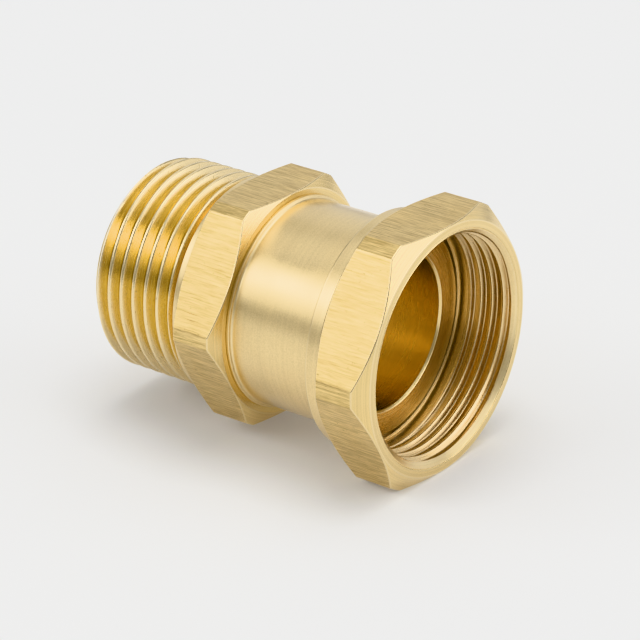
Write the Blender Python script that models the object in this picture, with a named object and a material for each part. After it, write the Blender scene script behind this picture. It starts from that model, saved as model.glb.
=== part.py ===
"""Pipe union, 1 inch: threaded male end, barrel, and a captive union nut that swivels and slides.

Metres, +Z up. The flow axis is X, the open nut mouth faces +X, and the hexes rest on flats.
"""
import math

import bmesh
import bpy

MM = 0.001

# Overall, along the flow axis
MALE_FACE_X = -27.15 * MM
MOUTH_FACE_X = 27.15 * MM
BORE_R = 12.1 * MM
MALE_BORE_CHAMFER = 0.8 * MM

# Male pipe thread, G1 parallel: 11 threads per inch, 55 degree form
MALE_PITCH = 2.309 * MM
MALE_CREST_R = 16.62 * MM
MALE_ROOT_R = 15.15 * MM
MALE_LEAD_R = 14.9 * MM
MALE_THREAD_END_X = -10.9 * MM
UNDERCUT_R = 15.0 * MM
MALE_RUN_OUT = 1.9
MALE_CREST_PART = 0.17
MALE_FLANK_PART = 0.33
MALE_CREST_SHIFT = -26.13 * MM

# Hex of the male end, with a short round collar behind it
HEX1_AF = 35.0 * MM
COLLAR_BACK_X = -10.4 * MM
HEX1_COLLAR_R = 17.1 * MM
HEX1_COLLAR_X = -9.35 * MM
COLLAR_EDGE = 0.3 * MM
HEX1_FRONT_X = -0.8 * MM
HEX1_FACE_R = 17.25 * MM
HEX1_BACK_TAN = math.tan(math.radians(24.0))
HEX1_FRONT_TAN = math.tan(math.radians(26.0))
RECESS_X = -1.45 * MM
RECESS_R = 16.75 * MM

# The corners of both hexes are turned off to narrow strips, this many degrees either side
HEX1_TRIM_DEG = 2.8
NUT_TRIM_DEG = 3.4

# Barrel and the spigot that screws into the male end
BARREL_R = 15.9 * MM
BARREL_END_X = 17.25 * MM
BEAD_R = 16.8 * MM
BEAD_BACK_X = -1.15 * MM
BEAD_TOP_X = -0.65 * MM
BEAD_FRONT_X = -0.05 * MM
BEAD_STEP = 0.6 * MM
BEAD_EDGE = 0.15 * MM
BEAD_FILLET = 0.55 * MM
FILLET_MID = 1.0 - math.cos(math.radians(45.0))
SPIGOT_R = 14.6 * MM
SPIGOT_END_X = -8.2 * MM
SOCKET_R = 14.9 * MM
SOCKET_FLOOR_X = -8.5 * MM
SOCKET_CHAMFER = 0.4 * MM
SEAT_CHAMFER = 0.33 * MM
BARREL_EDGE = 0.2 * MM
BARREL_LAND_R = 16.15 * MM

# O-ring in the spigot's groove
O_RING_X = -4.4 * MM
O_RING_MID_R = 14.05 * MM
O_RING_WIRE_R = 0.55 * MM
O_GROOVE_R = 13.2 * MM
O_GROOVE_HALF = 0.85 * MM

# Split ring that stops the nut from coming off the barrel
RING_X0 = 16.1 * MM
RING_X1 = 16.5 * MM
RING_IN_R = 15.2 * MM
RING_OUT_R = 16.6 * MM
RING_GROOVE_X0 = 15.8 * MM
RING_GROOVE_X1 = 16.8 * MM
RING_GROOVE_R = 14.9 * MM
RING_GAP_DEG = 9.0

# Slip washer between the split ring and the nut's lip
WASHER_X0 = 15.55 * MM
WASHER_X1 = 15.8 * MM
WASHER_IN_R = 16.2 * MM
WASHER_OUT_R = 16.6 * MM

# Union nut, with its own 36 x 2 union thread, 60 degree form
NUT_BACK_X = 14.75 * MM
NUT_LIP_X = 15.25 * MM
NUT_HOLE_R = 16.2 * MM
NUT_POCKET_R = 16.95 * MM
NUT_RELIEF_X = 17.0 * MM
NUT_RELIEF_R = 17.35 * MM
NUT_RUN_OUT = 1.6
NUT_CREST_PART = 0.25
NUT_FLANK_PART = 0.3125
NUT_COLLAR_R = 18.3 * MM
NUT_COLLAR_X = 17.02 * MM
NUT_AF = 39.0 * MM
NUT_FACE_R = 19.35 * MM
NUT_CHAMFER_TAN = math.tan(math.radians(33.0))
NUT_THREAD_X0 = 18.65 * MM
NUT_PITCH = 2.0 * MM
NUT_MINOR_R = 16.92 * MM
NUT_MAJOR_R = 18.0 * MM
NUT_MOUTH_R = 18.0 * MM
NUT_CREST_SHIFT = 19.6 * MM

STEP_DEG = 6
ROUND_STEPS = 60
O_RING_STEPS = 10
WELD = 0.001 * MM


def clear_scene():
    for obj in list(bpy.data.objects):
        bpy.data.objects.remove(obj, do_unlink=True)


def material(name, colour, metallic, roughness):
    mat = bpy.data.materials.new(name)
    mat.use_nodes = True
    shader = mat.node_tree.nodes["Principled BSDF"]
    shader.inputs["Base Color"].default_value = (*colour, 1.0)
    shader.inputs["Metallic"].default_value = metallic
    shader.inputs["Roughness"].default_value = roughness
    return mat


def hex_angles(trim_deg):
    """Column angles in degrees: even steps, plus both edges of every trimmed corner."""
    angles = set(range(0, 360, STEP_DEG))
    for corner in range(30, 360, 60):
        angles.add(corner - trim_deg)
        angles.add(corner + trim_deg)
    return sorted(angles)


def round_angles():
    return [360.0 * i / ROUND_STEPS for i in range(ROUND_STEPS)]


def hex_radius(across_flats, trim_deg, deg):
    """Radius of the trimmed hexagon at an angle from +Z; a flat faces straight up."""
    off = (deg + 30.0) % 60.0 - 30.0
    flat = across_flats / 2 / math.cos(math.radians(off))
    trimmed = across_flats / 2 / math.cos(math.radians(30.0 - trim_deg))
    return min(flat, trimmed)


def point(x, r, deg):
    a = math.radians(deg)
    return (x, -r * math.sin(a), r * math.cos(a))


def add_strip(bm, angles, column):
    """Skin a strip round the axis. column(deg) gives the same number of (x, r) pairs at each angle."""
    rows = [[bm.verts.new(point(x, r, deg)) for x, r in column(deg)] for deg in angles]
    for here, there in zip(rows, rows[1:] + rows[:1]):
        for a, b, c, d in zip(here, here[1:], there[1:], there):
            bm.faces.new((a, b, c, d))


def add_thread(bm, angles, x0, x1, pitch, shift, crest_r, root_r, crest_part, flank_part, limit):
    """Skin a right-hand thread from x0 to x1. Stations follow the helix, so crests stay sharp."""
    half = crest_part / 2
    marks = [(-half, crest_r), (half, crest_r), (half + flank_part, root_r), (1 - half - flank_part, root_r)]
    first = math.floor((x0 - shift) / pitch) - 2
    last = math.ceil((x1 - shift) / pitch) + 1
    rows = []
    for deg in list(angles) + [360.0]:
        row = []
        for turn in range(first, last + 1):
            for part, r in marks:
                x = shift + pitch * (turn + part + deg / 360.0)
                x_in = min(max(x, x0), x1)
                row.append(bm.verts.new(point(x_in, limit(x_in, r), deg)))
        rows.append(row)
    for here, there in zip(rows, rows[1:]):
        for a, b, c, d in zip(here, here[1:], there[1:], there):
            bm.faces.new((a, b, c, d))


def finish(bm, name, mat, origin_x=0.0, smooth_deg=35.0):
    bmesh.ops.remove_doubles(bm, verts=bm.verts, dist=WELD)
    bmesh.ops.dissolve_degenerate(bm, dist=WELD, edges=bm.edges)
    bmesh.ops.recalc_face_normals(bm, faces=bm.faces)
    if bm.calc_volume(signed=True) < 0:
        bmesh.ops.reverse_faces(bm, faces=bm.faces)
    bmesh.ops.triangulate(bm, faces=bm.faces)
    bmesh.ops.translate(bm, verts=bm.verts, vec=(-origin_x, 0, 0))
    mesh = bpy.data.meshes.new(name)
    bm.to_mesh(mesh)
    bm.free()
    mesh.shade_smooth()
    mesh.set_sharp_from_angle(angle=math.radians(smooth_deg))
    obj = bpy.data.objects.new(name, mesh)
    obj.location = (origin_x, 0, 0)
    mesh.materials.append(mat)
    bpy.context.collection.objects.link(obj)
    return obj


def male_limit(x, r):
    """Lead-in chamfer at the free end and run-out to the undercut at the hex end."""
    lead = MALE_LEAD_R + (x - MALE_FACE_X)
    run_out = UNDERCUT_R + (MALE_THREAD_END_X - x) * MALE_RUN_OUT
    return min(r, lead, run_out)


def make_male_end_body(mat):
    def column(deg):
        h = hex_radius(HEX1_AF, HEX1_TRIM_DEG, deg)
        back = (h - HEX1_COLLAR_R) * HEX1_BACK_TAN
        front = (h - HEX1_FACE_R) * HEX1_FRONT_TAN
        return [
            (MALE_THREAD_END_X, UNDERCUT_R),
            (COLLAR_BACK_X - COLLAR_EDGE, UNDERCUT_R),
            (COLLAR_BACK_X, UNDERCUT_R + COLLAR_EDGE),
            (COLLAR_BACK_X, HEX1_COLLAR_R - COLLAR_EDGE),
            (COLLAR_BACK_X + COLLAR_EDGE, HEX1_COLLAR_R),
            (HEX1_COLLAR_X, HEX1_COLLAR_R),
            (HEX1_COLLAR_X + back, h),
            (HEX1_FRONT_X - front, h),
            (HEX1_FRONT_X, HEX1_FACE_R),
            (RECESS_X, RECESS_R),
            (RECESS_X, SOCKET_R + SOCKET_CHAMFER),
            (RECESS_X - SOCKET_CHAMFER, SOCKET_R),
            (SOCKET_FLOOR_X, SOCKET_R),
            (SOCKET_FLOOR_X, BORE_R),
            (MALE_FACE_X + MALE_BORE_CHAMFER, BORE_R),
            (MALE_FACE_X, BORE_R + MALE_BORE_CHAMFER),
            (MALE_FACE_X, MALE_LEAD_R),
        ]

    bm = bmesh.new()
    angles = hex_angles(HEX1_TRIM_DEG)
    add_thread(bm, angles, MALE_FACE_X, MALE_THREAD_END_X, MALE_PITCH, MALE_CREST_SHIFT,
               MALE_CREST_R, MALE_ROOT_R, MALE_CREST_PART, MALE_FLANK_PART, male_limit)
    add_strip(bm, angles, column)
    return finish(bm, "male_end_body", mat)


def make_barrel_tube(mat):
    profile = [
        (BEAD_BACK_X, SPIGOT_R),
        (BEAD_BACK_X, BEAD_R - BEAD_STEP),
        (BEAD_TOP_X, BEAD_R),
        (BEAD_FRONT_X - BEAD_EDGE, BEAD_R),
        (BEAD_FRONT_X, BEAD_R - BEAD_EDGE),
        (BEAD_FRONT_X, BARREL_R + BEAD_FILLET),
        (BEAD_FRONT_X + FILLET_MID * BEAD_FILLET, BARREL_R + FILLET_MID * BEAD_FILLET),
        (BEAD_FRONT_X + BEAD_FILLET, BARREL_R),
        (RING_GROOVE_X0, BARREL_R),
        (RING_GROOVE_X0, RING_GROOVE_R),
        (RING_GROOVE_X1, RING_GROOVE_R),
        (RING_GROOVE_X1, BARREL_LAND_R),
        (BARREL_END_X - BARREL_EDGE, BARREL_LAND_R),
        (BARREL_END_X, BARREL_LAND_R - BARREL_EDGE),
        (BARREL_END_X, BORE_R + SEAT_CHAMFER),
        (BARREL_END_X - SEAT_CHAMFER, BORE_R),
        (SPIGOT_END_X, BORE_R),
        (SPIGOT_END_X, SPIGOT_R - SOCKET_CHAMFER),
        (SPIGOT_END_X + SOCKET_CHAMFER, SPIGOT_R),
        (O_RING_X - O_GROOVE_HALF, SPIGOT_R),
        (O_RING_X - O_GROOVE_HALF, O_GROOVE_R),
        (O_RING_X + O_GROOVE_HALF, O_GROOVE_R),
        (O_RING_X + O_GROOVE_HALF, SPIGOT_R),
        (BEAD_BACK_X, SPIGOT_R),
    ]
    bm = bmesh.new()
    add_strip(bm, round_angles(), lambda deg: profile)
    return finish(bm, "barrel_tube", mat)


def make_barrel_joint_o_ring(mat):
    turn = [2 * math.pi * i / O_RING_STEPS for i in range(O_RING_STEPS + 1)]
    profile = [
        (O_RING_X + O_RING_WIRE_R * math.sin(t), O_RING_MID_R + O_RING_WIRE_R * math.cos(t)) for t in turn
    ]
    bm = bmesh.new()
    add_strip(bm, round_angles(), lambda deg: profile)
    return finish(bm, "barrel_joint_o_ring", mat, smooth_deg=60.0)


def make_nut_retaining_ring(mat):
    """Flat split ring, open at the bottom."""
    profile = [(RING_X0, RING_IN_R), (RING_X0, RING_OUT_R), (RING_X1, RING_OUT_R), (RING_X1, RING_IN_R)]
    start = 180.0 + RING_GAP_DEG / 2
    sweep = 360.0 - RING_GAP_DEG
    bm = bmesh.new()
    rows = []
    for i in range(ROUND_STEPS + 1):
        deg = start + sweep * i / ROUND_STEPS
        rows.append([bm.verts.new(point(x, r, deg)) for x, r in profile])
    for here, there in zip(rows, rows[1:]):
        for k in range(4):
            bm.faces.new((here[k], here[(k + 1) % 4], there[(k + 1) % 4], there[k]))
    bm.faces.new(rows[0])
    bm.faces.new(list(reversed(rows[-1])))
    return finish(bm, "nut_retaining_ring", mat, origin_x=(RING_X0 + RING_X1) / 2)


def make_nut_slip_washer(mat):
    profile = [(WASHER_X0, WASHER_IN_R), (WASHER_X0, WASHER_OUT_R), (WASHER_X1, WASHER_OUT_R),
               (WASHER_X1, WASHER_IN_R), (WASHER_X0, WASHER_IN_R)]
    bm = bmesh.new()
    add_strip(bm, round_angles(), lambda deg: profile)
    return finish(bm, "nut_slip_washer", mat, origin_x=(WASHER_X0 + WASHER_X1) / 2)


def nut_limit(x, r):
    """Countersink at the mouth, and a thread that fades out into the plain relief behind it."""
    fade = (x - NUT_THREAD_X0) * NUT_RUN_OUT
    faded = min(max(r, NUT_RELIEF_R - fade), NUT_RELIEF_R + fade)
    mouth = NUT_MOUTH_R - (MOUTH_FACE_X - x)
    return max(faded, mouth)


def make_union_nut(mat):
    def column(deg):
        h = hex_radius(NUT_AF, NUT_TRIM_DEG, deg)
        back = (h - NUT_COLLAR_R) * NUT_CHAMFER_TAN
        front = (h - NUT_FACE_R) * NUT_CHAMFER_TAN
        return [
            (NUT_THREAD_X0, NUT_RELIEF_R),
            (NUT_RELIEF_X, NUT_RELIEF_R),
            (NUT_RELIEF_X, NUT_POCKET_R),
            (NUT_LIP_X, NUT_POCKET_R),
            (NUT_LIP_X, NUT_HOLE_R),
            (NUT_BACK_X, NUT_HOLE_R),
            (NUT_BACK_X, NUT_COLLAR_R - COLLAR_EDGE),
            (NUT_BACK_X + COLLAR_EDGE, NUT_COLLAR_R),
            (NUT_COLLAR_X, NUT_COLLAR_R),
            (NUT_COLLAR_X + back, h),
            (MOUTH_FACE_X - front, h),
            (MOUTH_FACE_X, NUT_FACE_R),
            (MOUTH_FACE_X, NUT_MOUTH_R),
        ]

    bm = bmesh.new()
    angles = hex_angles(NUT_TRIM_DEG)
    add_strip(bm, angles, column)
    add_thread(bm, angles, NUT_THREAD_X0, MOUTH_FACE_X, NUT_PITCH, NUT_CREST_SHIFT,
               NUT_MINOR_R, NUT_MAJOR_R, NUT_CREST_PART, NUT_FLANK_PART, nut_limit)
    return finish(bm, "union_nut", mat, origin_x=(NUT_BACK_X + MOUTH_FACE_X) / 2)


def main():
    clear_scene()
    make_male_end_body(material("male_end_brass", (0.78, 0.60, 0.27), 1.0, 0.28))
    make_barrel_tube(material("barrel_brass", (0.80, 0.63, 0.32), 1.0, 0.32))
    make_barrel_joint_o_ring(material("o_ring_rubber", (0.02, 0.02, 0.02), 0.0, 0.6))
    make_nut_retaining_ring(material("retaining_ring_steel", (0.62, 0.61, 0.58), 1.0, 0.3))
    make_nut_slip_washer(material("slip_washer_ptfe", (0.85, 0.85, 0.82), 0.0, 0.45))
    make_union_nut(material("nut_brass", (0.79, 0.61, 0.29), 1.0, 0.28))


main()
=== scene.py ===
"""Looks for the pipe union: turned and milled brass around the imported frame.

Every shape repeats the CAD's driving sizes, in millimetres here, and adds what the CAD leaves plain:
rounded edges, full thread forms, tool marks and finishes. The flow axis is X.
"""
import math

import bmesh
import bpy
from mathutils import Matrix, Vector


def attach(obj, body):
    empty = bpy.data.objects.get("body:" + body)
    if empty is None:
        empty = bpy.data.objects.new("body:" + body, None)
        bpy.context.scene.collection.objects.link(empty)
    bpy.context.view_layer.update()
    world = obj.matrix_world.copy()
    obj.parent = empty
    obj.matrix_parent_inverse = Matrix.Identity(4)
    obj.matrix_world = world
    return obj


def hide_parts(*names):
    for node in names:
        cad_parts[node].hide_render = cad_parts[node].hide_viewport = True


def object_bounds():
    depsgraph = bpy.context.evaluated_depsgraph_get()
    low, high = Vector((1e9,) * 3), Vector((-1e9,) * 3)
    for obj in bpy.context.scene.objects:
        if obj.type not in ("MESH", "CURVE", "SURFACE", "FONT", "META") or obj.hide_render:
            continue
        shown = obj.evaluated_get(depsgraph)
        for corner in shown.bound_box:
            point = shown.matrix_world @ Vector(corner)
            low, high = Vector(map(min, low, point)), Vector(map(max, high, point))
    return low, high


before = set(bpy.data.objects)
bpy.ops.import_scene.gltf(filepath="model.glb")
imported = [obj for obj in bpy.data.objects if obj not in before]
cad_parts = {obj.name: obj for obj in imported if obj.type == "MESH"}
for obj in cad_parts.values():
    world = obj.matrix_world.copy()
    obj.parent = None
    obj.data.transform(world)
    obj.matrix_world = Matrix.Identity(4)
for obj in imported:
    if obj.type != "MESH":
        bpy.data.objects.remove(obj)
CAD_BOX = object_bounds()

MM = 0.001

# ---------------------------------------------------------------- driving sizes, millimetres
# Male thread. The lead is the 45 degree chamfer at its start; the run-out is radius gained per length.
BORE_R = 12.1
MALE_FACE_X = -27.15
MALE_LEAD_R = 14.9
MALE_PITCH = 2.309
MALE_CREST_R = 16.62
MALE_ROOT_R = 15.15
MALE_CREST_FLAT = 0.42
MALE_FLANK_DEG = 27.5
MALE_CREST_CUT = 0.16
MALE_CREST_SHIFT = -26.13
MALE_THREAD_END_X = -10.9
MALE_RUN_OUT = 1.9
MALE_BORE_CHAMFER = 0.8
UNDERCUT_R = 15.0
THREAD_ROOT_CUT = 0.2

# First hex, with the collar behind it and the recess and socket for the barrel in front.
HEX1_AF = 35.0
HEX1_TRIM_DEG = 2.8
HEX1_COLLAR_BACK_X = -10.6
HEX1_COLLAR_R = 17.1
HEX1_COLLAR_X = -9.5
HEX1_FRONT_X = -0.8
HEX1_FACE_R = 17.25
HEX1_RIM_R = 17.45
HEX1_BACK_TAN = math.tan(math.radians(24.0))
HEX1_FRONT_TAN = math.tan(math.radians(26.0))
RECESS_X = -1.45
RECESS_R = 16.2
SOCKET_R = 14.9
SOCKET_FLOOR_X = -8.5
SOCKET_CHAMFER = 0.4

# Barrel, its bead and spigot, and the three small rings on it.
BARREL_R = 15.9
BARREL_END_X = 17.25
BARREL_LAND_R = 16.15
BEAD_R = 16.4
BEAD_BACK_X = -1.02
BEAD_FRONT_X = -0.6
BEAD_FILLET = 0.3
BEAD_SLOPE = 0.2
SEAM = 0.02
SPIGOT_R = 14.6
SPIGOT_END_X = -8.2
SEAT_CHAMFER = 0.33
O_RING_X = -4.4
O_RING_MID_R = 14.05
O_RING_WIRE_R = 0.55
O_RING_FLASH = 0.02
O_RING_STEPS = 24
O_GROOVE_R = 13.2
O_GROOVE_HALF = 0.85
RING_X0 = 16.1
RING_X1 = 16.5
RING_IN_R = 15.2
RING_OUT_R = 16.6
RING_GROOVE_X0 = 15.8
RING_GROOVE_X1 = 16.8
RING_GROOVE_R = 14.9
RING_GAP_DEG = 9.0
RING_STEPS = 150
RING_EDGE = 0.1
WASHER_X0 = 15.55
WASHER_X1 = 15.8
WASHER_IN_R = 16.2
WASHER_OUT_R = 16.6
WASHER_EDGE = 0.08

# Union nut. Its valleys fade in by NUT_FADE of radius per length, and fade out from NUT_LEAD_X on.
NUT_BACK_X = 14.75
NUT_LIP_X = 15.25
NUT_HOLE_R = 16.2
NUT_POCKET_R = 16.95
NUT_RELIEF_X = 17.0
NUT_RELIEF_R = 17.35
RIM_GROOVE = 0.13
NUT_COLLAR_R = 18.3
NUT_COLLAR_X = 17.02
NUT_AF = 39.0
NUT_TRIM_DEG = 3.4
NUT_FACE_R = 19.35
NUT_CHAMFER_TAN = math.tan(math.radians(33.0))
NUT_THREAD_X0 = 18.65
NUT_PITCH = 2.0
NUT_MINOR_R = 16.92
NUT_VALLEY_R = 17.7
NUT_CREST_FLAT = 0.32
NUT_FLANK_DEG = 30.0
NUT_CREST_CUT = 0.12
NUT_MOUTH_R = 18.0
NUT_CREST_SHIFT = 19.6
NUT_FADE = 0.5
NUT_LEAD_X = 26.4
MOUTH_FACE_X = 27.15

FLOOR_Z = CAD_BOX[0][2]

# ---------------------------------------------------------------- turning on a common set of columns
# Columns are close together at the hex corners, so the trimmed corners stay crisp.
EVEN_STEP_DEG = 1.5
FROM_TRIM_DEG = (-1.0, -0.6, -0.3, -0.12, 0.0, 0.12, 0.3, 0.6, 1.0, 1.6)
CORNER_SOFT = 0.04
# A rounding takes at most MAX_CUT of the run beside it; SUPPORT is where its support point stands, in cuts.
EDGE_STEPS = 4
SMALL_EDGE_STEPS = 3
MAX_CUT = 0.34
SUPPORT = 1.4
FLANK_STEP = 0.22
WELD = 1e-7


def round_angles():
    return [EVEN_STEP_DEG * i for i in range(round(360.0 / EVEN_STEP_DEG))]


def hex_angles(trim_deg):
    """Even columns, with the ones near a trimmed corner's edges replaced by a closer set."""
    edge = 30.0 - trim_deg
    near = {round(edge + a, 3) for a in FROM_TRIM_DEG}
    half = near | {a for a in round_angles() if a < edge + FROM_TRIM_DEG[0] - 0.5} | {30.0}
    both = [side * a for a in half for side in (1, -1)]
    return sorted({round((60.0 * k + a) % 360.0, 3) for k in range(6) for a in both})


def point(x, r, deg):
    """deg runs from +Z towards -Y."""
    a = math.radians(deg)
    return Vector((x, -r * math.sin(a), r * math.cos(a))) * MM


def facet_offset(deg):
    """Angle from the middle of the nearest flat."""
    return (deg + 30.0) % 60.0 - 30.0


def hex_radius(across_flats, trim_deg, deg):
    """Trimmed hexagon, with a small soft blend where a flat meets the trimmed corner."""
    flat = across_flats / 2 / math.cos(math.radians(facet_offset(deg)))
    trim = across_flats / 2 / math.cos(math.radians(30.0 - trim_deg))
    gap = flat - trim
    return (flat + trim - math.sqrt(gap * gap + CORNER_SOFT * CORNER_SOFT)) / 2


def soften(corners, steps=EDGE_STEPS):
    """Round a polyline's corners. Each corner is (x, r, cut, label); label names the run after it.

    A support point beyond each end of a rounding keeps the shading of the plain runs flat.
    """
    out = []
    last = len(corners) - 1
    for i, (x, r, cut, label) in enumerate(corners):
        if i == 0 or i == last:
            out.append((x, r, label, 0.0))
            continue
        here = Vector((x, r))
        back = Vector(corners[i - 1][:2]) - here
        ahead = Vector(corners[i + 1][:2]) - here
        back = back.normalized() * min(cut, back.length * MAX_CUT)
        ahead = ahead.normalized() * min(cut, ahead.length * MAX_CUT)
        out.append((*(here + back * SUPPORT), corners[i - 1][3], 0.0))
        for k in range(steps + 1):
            t = k / steps
            out.append((*(here + back * (1 - t) ** 2 + ahead * t * t), label, 1.0))
        out.append((*(here + ahead * SUPPORT), label, 0.0))
    return out


class Lathe:
    """Collects strips of one piece, welds them, and gives each face its material slot."""

    def __init__(self, labels, trim_deg=None):
        self.bm = bmesh.new()
        self.labels = labels
        self.angles = hex_angles(trim_deg) if trim_deg else round_angles()
        # Marks the points of each rounding; the brass materials paint them pale as a painted highlight.
        self.edge = self.bm.verts.layers.float.new("edge")

    def vert(self, x, r, deg, edge):
        v = self.bm.verts.new(point(x, r, deg))
        v[self.edge] = edge
        return v

    def face(self, corners, label):
        f = self.bm.faces.new(corners)
        f.material_index = self.labels.index(label)
        f.smooth = True

    def strip(self, column, angles=None, wrap=True):
        """Skin over column(deg), the profile at each angle. Returns the rows of (vertex, label)."""
        angles = angles or self.angles
        rows = []
        for deg in angles:
            rows.append([(self.vert(x, r, deg, edge), label) for x, r, label, edge in column(deg)])
        pairs = list(zip(rows, rows[1:] + rows[:1]))
        if not wrap:
            pairs.pop()
        for here, there in pairs:
            for (a, label), (b, _), (c, _), (d, _) in zip(here, here[1:], there[1:], there):
                self.face((a, b, c, d), label)
        return rows

    def thread(self, x0, x1, pitch, shift, form, limit):
        """Right-hand thread. form is one pitch as (part of pitch, radius, edge, label) marks."""
        first = math.floor((x0 - shift) / pitch) - 2
        last = math.ceil((x1 - shift) / pitch) + 1
        rows = []
        marks = [label for turn in range(first, last + 1) for _, _, _, label in form]
        for deg in self.angles + [self.angles[0] + 360.0]:
            row = []
            for turn in range(first, last + 1):
                for part, r, edge, _ in form:
                    x = shift + pitch * (turn + part + deg / 360.0)
                    x = min(max(x, x0), x1)
                    row.append(self.vert(x, limit(x, r), deg, edge))
            rows.append(row)
        for here, there in zip(rows, rows[1:]):
            for a, b, c, d, label in zip(here, here[1:], there[1:], there, marks):
                self.face((a, b, c, d), label)

    def relabel(self, old, new, from_x):
        """Give the faces of one label that lie wholly beyond from_x another label."""
        old, new = self.labels.index(old), self.labels.index(new)
        for f in self.bm.faces:
            if f.material_index == old and min(v.co.x for v in f.verts) > from_x * MM:
                f.material_index = new

    def finish(self, name, body, node, slot, materials):
        """Weld, turn the faces out, and hand the piece to the frame. materials follow the labels."""
        bm = self.bm
        bmesh.ops.remove_doubles(bm, verts=bm.verts, dist=WELD)
        bmesh.ops.dissolve_degenerate(bm, dist=WELD, edges=bm.edges)
        bmesh.ops.recalc_face_normals(bm, faces=bm.faces)
        if bm.calc_volume(signed=True) < 0:
            bmesh.ops.reverse_faces(bm, faces=bm.faces)
        mesh = bpy.data.meshes.new(name)
        bm.to_mesh(mesh)
        bm.free()
        for mat in materials:
            mesh.materials.append(mat)
        obj = bpy.data.objects.new(name, mesh)
        bpy.context.collection.objects.link(obj)
        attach(obj, body)
        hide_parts(node)
        return obj


def thread_form(pitch, crest_r, root_r, crest_flat, flank_deg, crest_cut, root_cut, crest_label):
    """One pitch of a thread as (part, radius, edge, label) marks from root centre to root centre."""
    flank = abs(crest_r - root_r) * math.tan(math.radians(flank_deg))
    half = crest_flat / 2
    corners = [
        (-pitch / 2, root_r, 0, "thread"),
        (-half - flank, root_r, root_cut, "thread"),
        (-half, crest_r, crest_cut, crest_label),
        (half, crest_r, crest_cut, crest_label),
        (half + flank, root_r, root_cut, "thread"),
        (pitch / 2, root_r, 0, "thread"),
    ]
    middle = (crest_r + root_r) / 2
    profile = soften(corners, SMALL_EDGE_STEPS)
    marks = []
    for (x, r, label, rounded), (next_x, next_r, _, _) in zip(profile, profile[1:]):
        on_crest = (r - middle) * (crest_r - middle) > 0
        steps = max(1, round(math.hypot(next_x - x, next_r - r) / FLANK_STEP))
        for k in range(steps):
            part = (x + (next_x - x) * k / steps) / pitch
            # Only the crest-side roundings carry the painted edge highlight.
            edge = rounded if on_crest and k == 0 else 0.0
            marks.append((part, r + (next_r - r) * k / steps, edge, label))
    return marks


# ---------------------------------------------------------------- the four metal and two soft pieces
def male_limit(x, r):
    """Chamfer at the thread's start, and the run-out into the undercut."""
    lead = MALE_LEAD_R + (x - MALE_FACE_X)
    run_out = UNDERCUT_R + (MALE_THREAD_END_X - x) * MALE_RUN_OUT
    return min(r, lead, run_out)


def make_male_end(materials):
    def column(deg):
        h = hex_radius(HEX1_AF, HEX1_TRIM_DEG, deg)
        back = (h - HEX1_COLLAR_R) * HEX1_BACK_TAN
        front = (h - HEX1_FACE_R) * HEX1_FRONT_TAN
        rim = (HEX1_RIM_R - HEX1_FACE_R) * HEX1_FRONT_TAN
        return soften([
            (MALE_THREAD_END_X, UNDERCUT_R, 0, "turned"),
            (HEX1_COLLAR_BACK_X, UNDERCUT_R, 0.25, "turned"),
            (HEX1_COLLAR_BACK_X, HEX1_COLLAR_R, 0.22, "satin"),
            (HEX1_COLLAR_X, HEX1_COLLAR_R, 0.1, "satin"),
            (HEX1_COLLAR_X + back, h, 0.12, "flat"),
            (HEX1_FRONT_X - front, h, 0.14, "turned"),
            (HEX1_FRONT_X - rim, HEX1_RIM_R, 0.1, "turned"),
            (BEAD_BACK_X - SEAM, BEAD_R, 0.05, "turned"),
            (BEAD_BACK_X - SEAM, RECESS_R, 0.05, "turned"),
            (RECESS_X, RECESS_R, 0.06, "turned"),
            (RECESS_X, SOCKET_R + SOCKET_CHAMFER, 0.05, "turned"),
            (RECESS_X - SOCKET_CHAMFER, SOCKET_R, 0.05, "turned"),
            (SOCKET_FLOOR_X, SOCKET_R, 0.05, "turned"),
            (SOCKET_FLOOR_X, BORE_R, 0.05, "bore"),
            (MALE_FACE_X + MALE_BORE_CHAMFER, BORE_R, 0.1, "turned"),
            (MALE_FACE_X, BORE_R + MALE_BORE_CHAMFER, 0.1, "turned"),
            (MALE_FACE_X, MALE_LEAD_R, 0, "turned"),
        ])

    form = thread_form(MALE_PITCH, MALE_CREST_R, MALE_ROOT_R, MALE_CREST_FLAT, MALE_FLANK_DEG,
                       MALE_CREST_CUT, THREAD_ROOT_CUT, "crest")
    piece = Lathe(["flat", "turned", "thread", "crest", "bore", "satin"], HEX1_TRIM_DEG)
    piece.thread(MALE_FACE_X, MALE_THREAD_END_X, MALE_PITCH, MALE_CREST_SHIFT, form, male_limit)
    piece.strip(column)
    return piece.finish("male_end", "tail", "male_end_body", "male_end_brass", materials)


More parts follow.
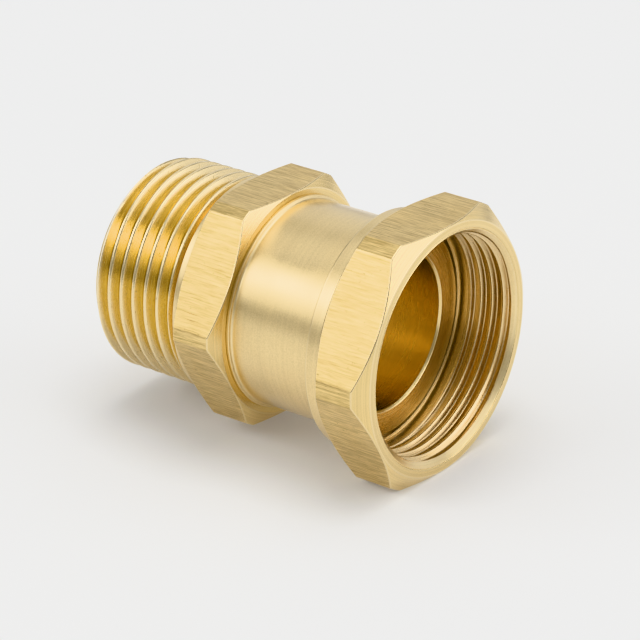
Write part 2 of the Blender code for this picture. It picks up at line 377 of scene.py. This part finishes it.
def make_barrel(materials):
    profile = soften([
        (BEAD_BACK_X, SPIGOT_R, 0, "turned"),
        (BEAD_BACK_X, BEAD_R, 0.07, "satin"),
        (BEAD_FRONT_X, BEAD_R, 0.1, "satin"),
        (BEAD_FRONT_X + BEAD_SLOPE, BARREL_R, BEAD_FILLET, "satin"),
        (RING_GROOVE_X0, BARREL_R, 0.08, "turned"),
        (RING_GROOVE_X0, RING_GROOVE_R, 0.05, "turned"),
        (RING_GROOVE_X1, RING_GROOVE_R, 0.05, "turned"),
        (RING_GROOVE_X1, BARREL_LAND_R, 0.06, "turned"),
        (BARREL_END_X, BARREL_LAND_R, 0.14, "end_face"),
        (BARREL_END_X, BORE_R + SEAT_CHAMFER, 0.06, "turned"),
        (BARREL_END_X - SEAT_CHAMFER, BORE_R, 0.06, "bore"),
        (SPIGOT_END_X, BORE_R, 0.06, "turned"),
        (SPIGOT_END_X, SPIGOT_R, 0.3, "turned"),
        (O_RING_X - O_GROOVE_HALF, SPIGOT_R, 0.05, "turned"),
        (O_RING_X - O_GROOVE_HALF, O_GROOVE_R, 0.05, "turned"),
        (O_RING_X + O_GROOVE_HALF, O_GROOVE_R, 0.05, "turned"),
        (O_RING_X + O_GROOVE_HALF, SPIGOT_R, 0.05, "turned"),
        (BEAD_BACK_X, SPIGOT_R, 0, "turned"),
    ])
    piece = Lathe(["satin", "turned", "bore", "end_face"])
    piece.strip(lambda deg: profile)
    return piece.finish("barrel", "tail", "barrel_tube", "barrel_brass", materials)


def nut_limit(x, r):
    """Countersink at the mouth; the valleys fade out into it and into the plain relief behind them."""
    fade = (x - NUT_THREAD_X0) * NUT_FADE
    faded = min(max(r, NUT_RELIEF_R - fade), NUT_RELIEF_R + fade)
    mouth = NUT_MOUTH_R - (MOUTH_FACE_X - x)
    lead = NUT_MOUTH_R - (MOUTH_FACE_X - NUT_LEAD_X) + abs(NUT_LEAD_X - x)
    return max(min(faded, lead), mouth)


def make_nut(materials):
    def column(deg):
        h = hex_radius(NUT_AF, NUT_TRIM_DEG, deg)
        back = (h - NUT_COLLAR_R) * NUT_CHAMFER_TAN
        front = (h - NUT_FACE_R) * NUT_CHAMFER_TAN
        return soften([
            (NUT_THREAD_X0, NUT_RELIEF_R, 0, "thread"),
            (NUT_THREAD_X0 - 0.12, NUT_RELIEF_R, 0.04, "thread"),
            (NUT_RELIEF_X, NUT_RELIEF_R, 0.12, "thread"),
            (NUT_RELIEF_X, NUT_POCKET_R, 0.08, "thread"),
            (NUT_LIP_X, NUT_POCKET_R, 0.08, "turned"),
            (NUT_LIP_X, NUT_HOLE_R, 0.06, "turned"),
            (NUT_BACK_X, NUT_HOLE_R, 0.1, "turned"),
            (NUT_BACK_X, NUT_COLLAR_R, 0.28, "satin"),
            (NUT_COLLAR_X, NUT_COLLAR_R, 0.1, "turned"),
            (NUT_COLLAR_X + back, h, 0.12, "flat"),
            (MOUTH_FACE_X - front, h, 0.14, "turned"),
            (MOUTH_FACE_X, NUT_FACE_R, 0.12, "turned"),
            (MOUTH_FACE_X, NUT_MOUTH_R + 2 * RIM_GROOVE, 0.03, "turned"),
            (MOUTH_FACE_X - RIM_GROOVE, NUT_MOUTH_R + RIM_GROOVE, 0.03, "turned"),
            (MOUTH_FACE_X, NUT_MOUTH_R, 0, "turned"),
        ])

    form = thread_form(NUT_PITCH, NUT_MINOR_R, NUT_VALLEY_R, NUT_CREST_FLAT, NUT_FLANK_DEG,
                       NUT_CREST_CUT, THREAD_ROOT_CUT, "thread")
    piece = Lathe(["flat", "turned", "thread", "satin"], NUT_TRIM_DEG)
    piece.strip(column)
    piece.thread(NUT_THREAD_X0, MOUTH_FACE_X, NUT_PITCH, NUT_CREST_SHIFT, form, nut_limit)
    # The countersink at the mouth takes the satin brass; the faces deeper in keep the darker inner brass,
    # painted shade.
    piece.relabel("thread", "satin", NUT_LEAD_X)
    return piece.finish("nut", "nut", "union_nut", "nut_brass", materials)


def make_split_ring(materials):
    """Its gap starts at the bottom, and both cut ends are closed."""
    mid_x = (RING_X0 + RING_X1) / 2
    profile = soften([
        (mid_x, RING_IN_R, 0, "ring"),
        (RING_X0, RING_IN_R, RING_EDGE, "ring"),
        (RING_X0, RING_OUT_R, RING_EDGE, "ring"),
        (RING_X1, RING_OUT_R, RING_EDGE, "ring"),
        (RING_X1, RING_IN_R, RING_EDGE, "ring"),
        (mid_x, RING_IN_R, 0, "ring"),
    ], SMALL_EDGE_STEPS)
    start = 180.0 + RING_GAP_DEG / 2
    angles = [start + (360.0 - RING_GAP_DEG) * i / RING_STEPS for i in range(RING_STEPS + 1)]
    piece = Lathe(["ring"])
    rows = piece.strip(lambda deg: profile, angles, wrap=False)
    piece.face([v for v, _ in rows[0][:-1]], "ring")
    piece.face([v for v, _ in reversed(rows[-1][:-1])], "ring")
    return piece.finish("split_ring", "split_ring", "nut_retaining_ring", "retaining_ring_steel", materials)


def make_slip_washer(materials):
    join_r = WASHER_IN_R + 0.3
    profile = soften([
        (WASHER_X0, join_r, 0, "washer"),
        (WASHER_X0, WASHER_OUT_R, WASHER_EDGE, "washer"),
        (WASHER_X1, WASHER_OUT_R, WASHER_EDGE, "washer"),
        (WASHER_X1, WASHER_IN_R, WASHER_EDGE, "washer"),
        (WASHER_X0, WASHER_IN_R, WASHER_EDGE, "washer"),
        (WASHER_X0, join_r, 0, "washer"),
    ])
    piece = Lathe(["washer"])
    piece.strip(lambda deg: profile)
    return piece.finish("slip_washer", "slip_washer", "nut_slip_washer", "slip_washer_ptfe", materials)


def make_o_ring(materials):
    """Round section with the fine flash line that the mould leaves outside."""
    profile = []
    for i in range(O_RING_STEPS + 1):
        t = 2 * math.pi * i / O_RING_STEPS
        r = O_RING_WIRE_R + (O_RING_FLASH if i in (0, O_RING_STEPS) else 0.0)
        profile.append((O_RING_X + r * math.sin(t), O_RING_MID_R + r * math.cos(t), "rubber", 0.0))
    piece = Lathe(["rubber"])
    piece.strip(lambda deg: profile)
    return piece.finish("o_ring", "tail", "barrel_joint_o_ring", "o_ring_rubber", materials)


# ---------------------------------------------------------------- materials
class Shader:
    """A Principled material with small helpers for wiring procedural detail."""

    def __init__(self, name, metallic, roughness):
        self.mat = bpy.data.materials.new(name)
        self.mat.use_nodes = True
        self.tree = self.mat.node_tree
        self.out = self.tree.nodes["Principled BSDF"]
        self.out.inputs["Metallic"].default_value = metallic
        self.out.inputs["Roughness"].default_value = roughness
        coord = self.node("ShaderNodeTexCoord")
        self.place = coord.outputs["Object"]

    def node(self, kind, **settings):
        n = self.tree.nodes.new(kind)
        for key, value in settings.items():
            setattr(n, key, value)
        return n

    def link(self, a, b):
        self.tree.links.new(a, b)

    def math(self, operation, a, b=None):
        n = self.node("ShaderNodeMath", operation=operation)
        for socket, value in zip(n.inputs, (a, b)):
            if value is None:
                continue
            if isinstance(value, (int, float)):
                socket.default_value = value
            else:
                self.link(value, socket)
        return n.outputs[0]

    def stretched(self, per_metre):
        """Object coordinates scaled per axis, in features per metre."""
        n = self.node("ShaderNodeMapping")
        n.inputs["Scale"].default_value = per_metre
        self.link(self.place, n.inputs["Vector"])
        return n.outputs["Vector"]

    def turned(self, per_metre, swirl):
        """Coordinates that change with x and with the radius, hardly round the axis."""
        split = self.node("ShaderNodeSeparateXYZ")
        self.link(self.place, split.inputs[0])
        yy = self.math("MULTIPLY", split.outputs[1], split.outputs[1])
        zz = self.math("MULTIPLY", split.outputs[2], split.outputs[2])
        radius = self.math("SQRT", self.math("ADD", yy, zz))
        slow = self.noise(self.stretched(SWIRL_PER_M), 2.0)
        join = self.node("ShaderNodeCombineXYZ")
        self.link(self.math("MULTIPLY", split.outputs[0], per_metre), join.inputs[0])
        self.link(self.math("MULTIPLY", radius, per_metre), join.inputs[1])
        self.link(self.math("MULTIPLY", slow, swirl), join.inputs[2])
        return join.outputs[0]

    def noise(self, vector, detail=3.0, roughness=0.55):
        n = self.node("ShaderNodeTexNoise")
        n.inputs["Scale"].default_value = 1.0
        n.inputs["Detail"].default_value = detail
        n.inputs["Roughness"].default_value = roughness
        self.link(vector, n.inputs["Vector"])
        return n.outputs[0]

    def band(self, value, low, high, out_low=0.0, out_high=1.0):
        """Maps low..high to out_low..out_high, clamped."""
        n = self.node("ShaderNodeMapRange", clamp=True)
        limits = {"From Min": low, "From Max": high, "To Min": out_low, "To Max": out_high}
        for name, number in limits.items():
            n.inputs[name].default_value = number
        self.link(value, n.inputs["Value"])
        return n.outputs[0]

    def mix(self, factor, a, b):
        """Colour a to colour b by factor; each may be a value or a socket."""
        n = self.node("ShaderNodeMix", data_type="RGBA")
        for socket, value in ((n.inputs[0], factor), (n.inputs[6], a), (n.inputs[7], b)):
            if isinstance(value, tuple):
                socket.default_value = (*value, 1.0)
            elif isinstance(value, (int, float)):
                socket.default_value = value
            else:
                self.link(value, socket)
        return n.outputs[2]

    def bump(self, height, distance, strength=1.0, under=None):
        n = self.node("ShaderNodeBump")
        n.inputs["Strength"].default_value = strength
        n.inputs["Distance"].default_value = distance
        self.link(height, n.inputs["Height"])
        if under is not None:
            self.link(under, n.inputs["Normal"])
        return n.outputs[0]

    def oiled(self, weight):
        """A thin clear film, which whitens the brightest reflections."""
        self.out.inputs["Coat Weight"].default_value = weight
        self.out.inputs["Coat Roughness"].default_value = COAT_ROUGHNESS

    def use(self, colour=None, roughness=None, normal=None):
        for name, value in (("Base Color", colour), ("Roughness", roughness), ("Normal", normal)):
            if value is not None:
                self.link(value, self.out.inputs[name])
        return self.mat


BRASS = (0.90, 0.688, 0.32)
# Pale brass for thread crests and rounded edges: a painted highlight.
BRASS_HIGHLIGHT = (0.94, 0.765, 0.44)
BRASS_SATIN = (0.905, 0.71, 0.37)
# Darker brass for the nut's threads and relief and the barrel end inside the nut: painted shade.
BRASS_INNER_SHADE = (0.84, 0.635, 0.35)
# Deep brown of the blotches: stains, and painted shade in the bore and other hollows.
BRASS_DEEP = (0.70, 0.47, 0.15)
# Darker, deeper gold for the male thread's flanks and roots: painted shade in the grooves.
BRASS_GROOVE_SHADE = (0.765, 0.577, 0.20)
STREAK = (0.50, 0.36, 0.13)
GROOVE_FALL = (0.9, 1.0, 1.2)
BRIGHTER = 1.03
# How strongly rounded edges are painted pale: a painted highlight.
EDGE_HIGHLIGHT = 0.6
COAT_ROUGHNESS = 0.25
PIT_DEPTH = 0.02
STEEL_TINTS = (0.50, 0.48, 0.45), (0.66, 0.64, 0.61)
PTFE_TINTS = (0.80, 0.79, 0.75), (0.90, 0.89, 0.86)
RUBBER_TINTS = (0.012, 0.012, 0.012), (0.03, 0.03, 0.03)
PAPER_TINTS = (0.715, 0.715, 0.71), (0.725, 0.725, 0.72)

# How fine each pattern is: features per metre, along x, y and z.
SWIRL_PER_M = (60, 60, 60)
CLOUD_PER_M = (140, 140, 140)
PITS_PER_M = (1500, 2600, 2600)
MILL_COARSE_PER_M = (120, 4200, 4200)
MILL_FINE_PER_M = (500, 9000, 9000)
MILL_DARK_PER_M = (160, 4600, 4600)
MILL_PATCH_PER_M = (90, 420, 420)
SPECKLE_PER_M = (5200, 5200, 5200)
SATIN_RINGS_PER_M = 2600
STEEL_RINGS_PER_M = 6000
PTFE_PER_M = (900, 900, 900)
RUBBER_PER_M = (2500, 2500, 2500)
PAPER_PER_M = (30, 30, 30)


def tinted(colour, factor):
    return tuple(c * factor for c in colour)


def blend_lines(s, a, b, part_b):
    """Two noises added, part_b of the second."""
    return s.math("ADD", s.math("MULTIPLY", a, 1.0 - part_b), s.math("MULTIPLY", b, part_b))


def finish_brass(s, lines, contrast, depth, rough, stain, tint, pitting):
    """Colour, roughness and bump of bare brass from its tool lines, with stains and painted shade in the
    hollows, pits, and a painted highlight on rounded edges.

    contrast is how much darker the grooves are, depth their height in millimetres, rough the lowest and
    highest roughness, the blotch strength how much deep brown is mixed in, as stains where low and as
    painted shade in the hollows where high, and pitting how strong the pits are, from 0 to 1.
    """
    low, high = rough
    cloud = s.noise(s.stretched(CLOUD_PER_M), 5.0)
    pits = s.band(s.noise(s.stretched(PITS_PER_M), 2.0), 0.68, 0.74)
    edge = s.node("ShaderNodeAttribute", attribute_name="edge").outputs["Fac"]
    groove = tuple(c * (1.0 - contrast * fall) for c, fall in zip(tint, GROOVE_FALL))
    shade = s.mix(s.band(lines, 0.38, 0.60), groove, tinted(tint, BRIGHTER))
    # Deep-brown blotches: stains, and painted shade in the hollows where the strength is set high.
    shade = s.mix(s.math("MULTIPLY", s.band(cloud, 0.45, 0.72), stain), shade, BRASS_DEEP)
    shade = s.mix(s.math("MULTIPLY", pits, pitting), shade, STREAK)
    # Rounded edges are mixed towards pale brass: a painted highlight.
    shade = s.mix(s.math("MULTIPLY", edge, EDGE_HIGHLIGHT), shade, BRASS_HIGHLIGHT)
    spread = s.math("ADD", s.band(lines, 0.3, 0.7, low, high), s.band(cloud, 0.35, 0.7, -0.03, 0.05))
    normal = s.bump(lines, depth * MM)
    normal = s.bump(s.math("SUBTRACT", 1.0, pits), PIT_DEPTH * MM, pitting, normal)
    return shade, spread, normal


def milled_brass():
    """Flats: fine lines along the axis, a few of them dark."""
    s = Shader("brass_milled", 1.0, 0.3)
    s.oiled(0.3)
    coarse = s.noise(s.stretched(MILL_COARSE_PER_M), 4.0, 0.7)
    fine = s.noise(s.stretched(MILL_FINE_PER_M), 2.0)
    lines = blend_lines(s, coarse, fine, 0.4)
    shade, rough, normal = finish_brass(s, lines, contrast=0.50, depth=0.012, rough=(0.28, 0.40), stain=0.08,
                                        tint=tinted(BRASS, 1.02), pitting=1.0)
    dark = s.band(s.noise(s.stretched(MILL_DARK_PER_M)), 0.57, 0.64)
    where = s.band(s.noise(s.stretched(MILL_PATCH_PER_M), 2.0), 0.45, 0.6, 0.3, 1.0)
    shade = s.mix(s.math("MULTIPLY", dark, where), shade, STREAK)
    return s.use(shade, rough, normal)


def turned_brass(name, rings, film=0.5, swirl=0.4, tint=BRASS, pitting=0.55, **finish):
    """Lathe finish: fine rings round the axis, rings per metre."""
    s = Shader(name, 1.0, finish["rough"][0])
    s.oiled(film)
    coarse = s.noise(s.turned(rings, swirl))
    fine = s.noise(s.turned(rings * 3.7, swirl), 2.0)
    lines = blend_lines(s, coarse, fine, 0.35)
    return s.use(*finish_brass(s, lines, tint=tint, pitting=pitting, **finish))


def satin_brass():
    """Barrel: soft satin with faint rings and a fine even speckle."""
    s = Shader("brass_satin", 1.0, 0.32)
    s.oiled(0.8)
    rings = s.noise(s.turned(SATIN_RINGS_PER_M, 0.9))
    speckle = s.noise(s.stretched(SPECKLE_PER_M), 2.0)
    lines = blend_lines(s, rings, speckle, 0.6)
    return s.use(*finish_brass(s, lines, contrast=0.12, depth=0.003, rough=(0.31, 0.34), stain=0.05,
                               tint=BRASS_SATIN, pitting=0.0))


def steel():
    s = Shader("spring_steel", 1.0, 0.3)
    lines = s.noise(s.turned(STEEL_RINGS_PER_M, 0.4))
    shade = s.mix(s.band(lines, 0.3, 0.7), *STEEL_TINTS)
    return s.use(shade, s.band(lines, 0.3, 0.7, 0.24, 0.4), s.bump(lines, 0.01 * MM))


def ptfe():
    s = Shader("washer_ptfe", 0.0, 0.45)
    cloud = s.noise(s.stretched(PTFE_PER_M), 4.0)
    return s.use(s.mix(cloud, *PTFE_TINTS), s.band(cloud, 0.3, 0.7, 0.38, 0.55), s.bump(cloud, 0.01 * MM))


def rubber():
    s = Shader("ring_rubber", 0.0, 0.6)
    cloud = s.noise(s.stretched(RUBBER_PER_M), 4.0)
    return s.use(s.mix(cloud, *RUBBER_TINTS), s.band(cloud, 0.3, 0.7, 0.5, 0.72), s.bump(cloud, 0.012 * MM))


# ---------------------------------------------------------------- studio
# Camera: angles in degrees, distance and offsets in millimetres.
CAMERA_AZIMUTH = 37.014
CAMERA_ELEVATION = 25.321
CAMERA_ROLL = -0.277
CAMERA_DISTANCE = 480.55
CAMERA_RIGHT = 3.064
CAMERA_UP = -2.614
CAMERA_LENS = 180.89
SENSOR_WIDTH = 36.0


def make_camera():
    a, e, roll = (math.radians(v) for v in (CAMERA_AZIMUTH, CAMERA_ELEVATION, CAMERA_ROLL))
    back = Vector((math.sin(a) * math.cos(e), -math.cos(a) * math.cos(e), math.sin(e)))
    right = Vector((math.cos(a), math.sin(a), 0.0))
    up = back.cross(right)
    turned_right = right * math.cos(roll) + up * math.sin(roll)
    turned_up = up * math.cos(roll) - right * math.sin(roll)
    data = bpy.data.cameras.new("camera")
    data.sensor_width = SENSOR_WIDTH
    data.lens = CAMERA_LENS
    data.clip_start = 0.01
    cam = bpy.data.objects.new("camera", data)
    bpy.context.collection.objects.link(cam)
    spot = (back * CAMERA_DISTANCE + turned_right * CAMERA_RIGHT + turned_up * CAMERA_UP) * MM
    basis = Matrix((turned_right, turned_up, back)).transposed()
    cam.matrix_world = Matrix.Translation(spot) @ basis.to_4x4()
    bpy.context.scene.camera = cam


def area_light(name, direction, distance, width, height, radiance):
    """Softbox that faces the object."""
    data = bpy.data.lights.new(name, "AREA")
    data.shape = "RECTANGLE"
    data.size = width
    data.size_y = height
    data.energy = radiance * math.pi * width * height
    lamp = bpy.data.objects.new(name, data)
    bpy.context.collection.objects.link(lamp)
    away = Vector(direction).normalized()
    facing = away.to_track_quat("Z", "Y").to_matrix().to_4x4()
    lamp.matrix_world = Matrix.Translation(away * distance) @ facing


FLOOR_HALF = 0.75
FLOOR_GLOW = 0.145
WORLD_TINT = (0.97, 0.98, 1.0, 1.0)
WORLD_STRENGTH = 0.28
# Softboxes: name, direction, distance, width, height (metres), and how bright the surface looks.
SOFTBOXES = (
    ("key_left", (-0.55, -0.66, 0.50), 1.3, 1.3, 0.75, 0.84),
    ("key_core", (-0.55, -0.60, 0.585), 1.25, 1.1, 0.28, 3.6),
    ("back_left", (-0.6, 0.75, 0.44), 1.5, 1.4, 1.15, 0.52),
    ("back_right", (0.31, 0.93, 0.22), 1.4, 1.0, 0.6, 0.6),
    ("fill_right", (0.88, 0.35, 0.32), 1.4, 1.3, 0.8, 2.6),
    ("overhead", (0.05, 0.10, 1.0), 1.4, 1.0, 1.0, 2.2),
    ("ceiling", (0.05, 0.10, 1.0), 1.45, 2.2, 2.2, 0.6),
)


def make_floor():
    bm = bmesh.new()
    bmesh.ops.create_grid(bm, x_segments=8, y_segments=8, size=FLOOR_HALF)
    mesh = bpy.data.meshes.new("floor")
    bm.to_mesh(mesh)
    bm.free()
    floor = bpy.data.objects.new("floor", mesh)
    floor.location = (0, 0, FLOOR_Z)
    bpy.context.collection.objects.link(floor)
    s = Shader("floor_paper", 0.0, 0.9)
    s.out.inputs["Emission Color"].default_value = (1.0, 1.0, 1.0, 1.0)
    s.out.inputs["Emission Strength"].default_value = FLOOR_GLOW
    s.use(s.mix(s.noise(s.stretched(PAPER_PER_M)), *PAPER_TINTS))
    mesh.materials.append(s.mat)


def make_world():
    world = bpy.data.worlds.new("studio")
    world.use_nodes = True
    back = world.node_tree.nodes["Background"]
    back.inputs["Color"].default_value = WORLD_TINT
    back.inputs["Strength"].default_value = WORLD_STRENGTH
    bpy.context.scene.world = world


def main():
    flat = milled_brass()
    satin = satin_brass()
    turned = turned_brass("brass_turned", 3200, film=0.8, pitting=0.2,
                          contrast=0.15, depth=0.010, rough=(0.18, 0.28), stain=0.10)
    # Thread flanks and roots in darker gold with strong deep-brown blotches: painted shade in the grooves.
    thread = turned_brass("brass_thread", 2400, film=0.0, tint=BRASS_GROOVE_SHADE,
                          contrast=0.2, depth=0.008, rough=(0.13, 0.22), stain=0.3)
    # Thread crests in pale brass: a painted highlight.
    crest = turned_brass("brass_crest", 5200, tint=BRASS_HIGHLIGHT, pitting=1.0,
                         contrast=0.08, depth=0.006, rough=(0.20, 0.30), stain=0.0)
    # Nut's inside and barrel end face in darker brass with strong deep-brown blotches: painted shade.
    inner = turned_brass("brass_inner", 4200, film=0.3, tint=BRASS_INNER_SHADE,
                         contrast=0.20, depth=0.008, rough=(0.22, 0.32), stain=0.30)
    # Bore in brass 8% darker and heavily blotched with deep brown: painted shade in the hole.
    bore = turned_brass("brass_bore", 1500, swirl=1.2, tint=tinted(BRASS, 0.92),
                        contrast=0.10, depth=0.008, rough=(0.20, 0.32), stain=0.55)
    make_male_end([flat, turned, thread, crest, bore, satin])
    # The barrel's bore and its end face inside the nut take the darker brass: painted shade.
    make_barrel([satin, turned, bore, inner])
    make_nut([flat, turned, inner, satin])
    make_split_ring([steel()])
    make_slip_washer([ptfe()])
    make_o_ring([rubber()])

    make_camera()
    make_floor()
    make_world()
    for softbox in SOFTBOXES:
        area_light(*softbox)
    bpy.context.scene.view_settings.view_transform = "Khronos PBR Neutral"


main()
